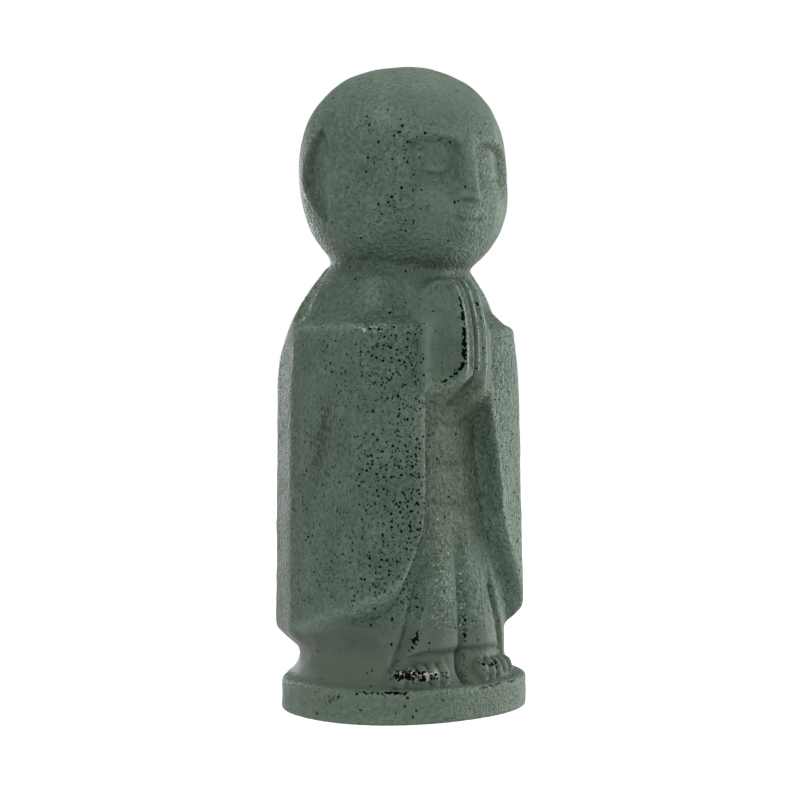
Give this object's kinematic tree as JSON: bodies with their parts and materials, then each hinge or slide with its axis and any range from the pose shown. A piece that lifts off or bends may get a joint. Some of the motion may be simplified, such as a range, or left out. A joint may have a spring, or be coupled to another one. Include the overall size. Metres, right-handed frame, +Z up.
{
  "type": "jizo statue",
  "caption": "Small standing jizo figure with pressed palms, long sleeves and an oval foot plate, sand-cast in iron with a worn grey-green finish; it stands on its flat underside.",
  "frame": {"origin": "middle of the flat underside", "axes": "+Z up, the figure faces -Y, and +X is its own left side"},
  "size_m": [0.043, 0.038, 0.11],
  "materials": {
    "green_iron": "matte grey-green patina on sand-cast iron, worn to black at points"
  },
  "bodies": {
    "root": {"jizo_figure": "green_iron"}
  },
  "joints": []
}
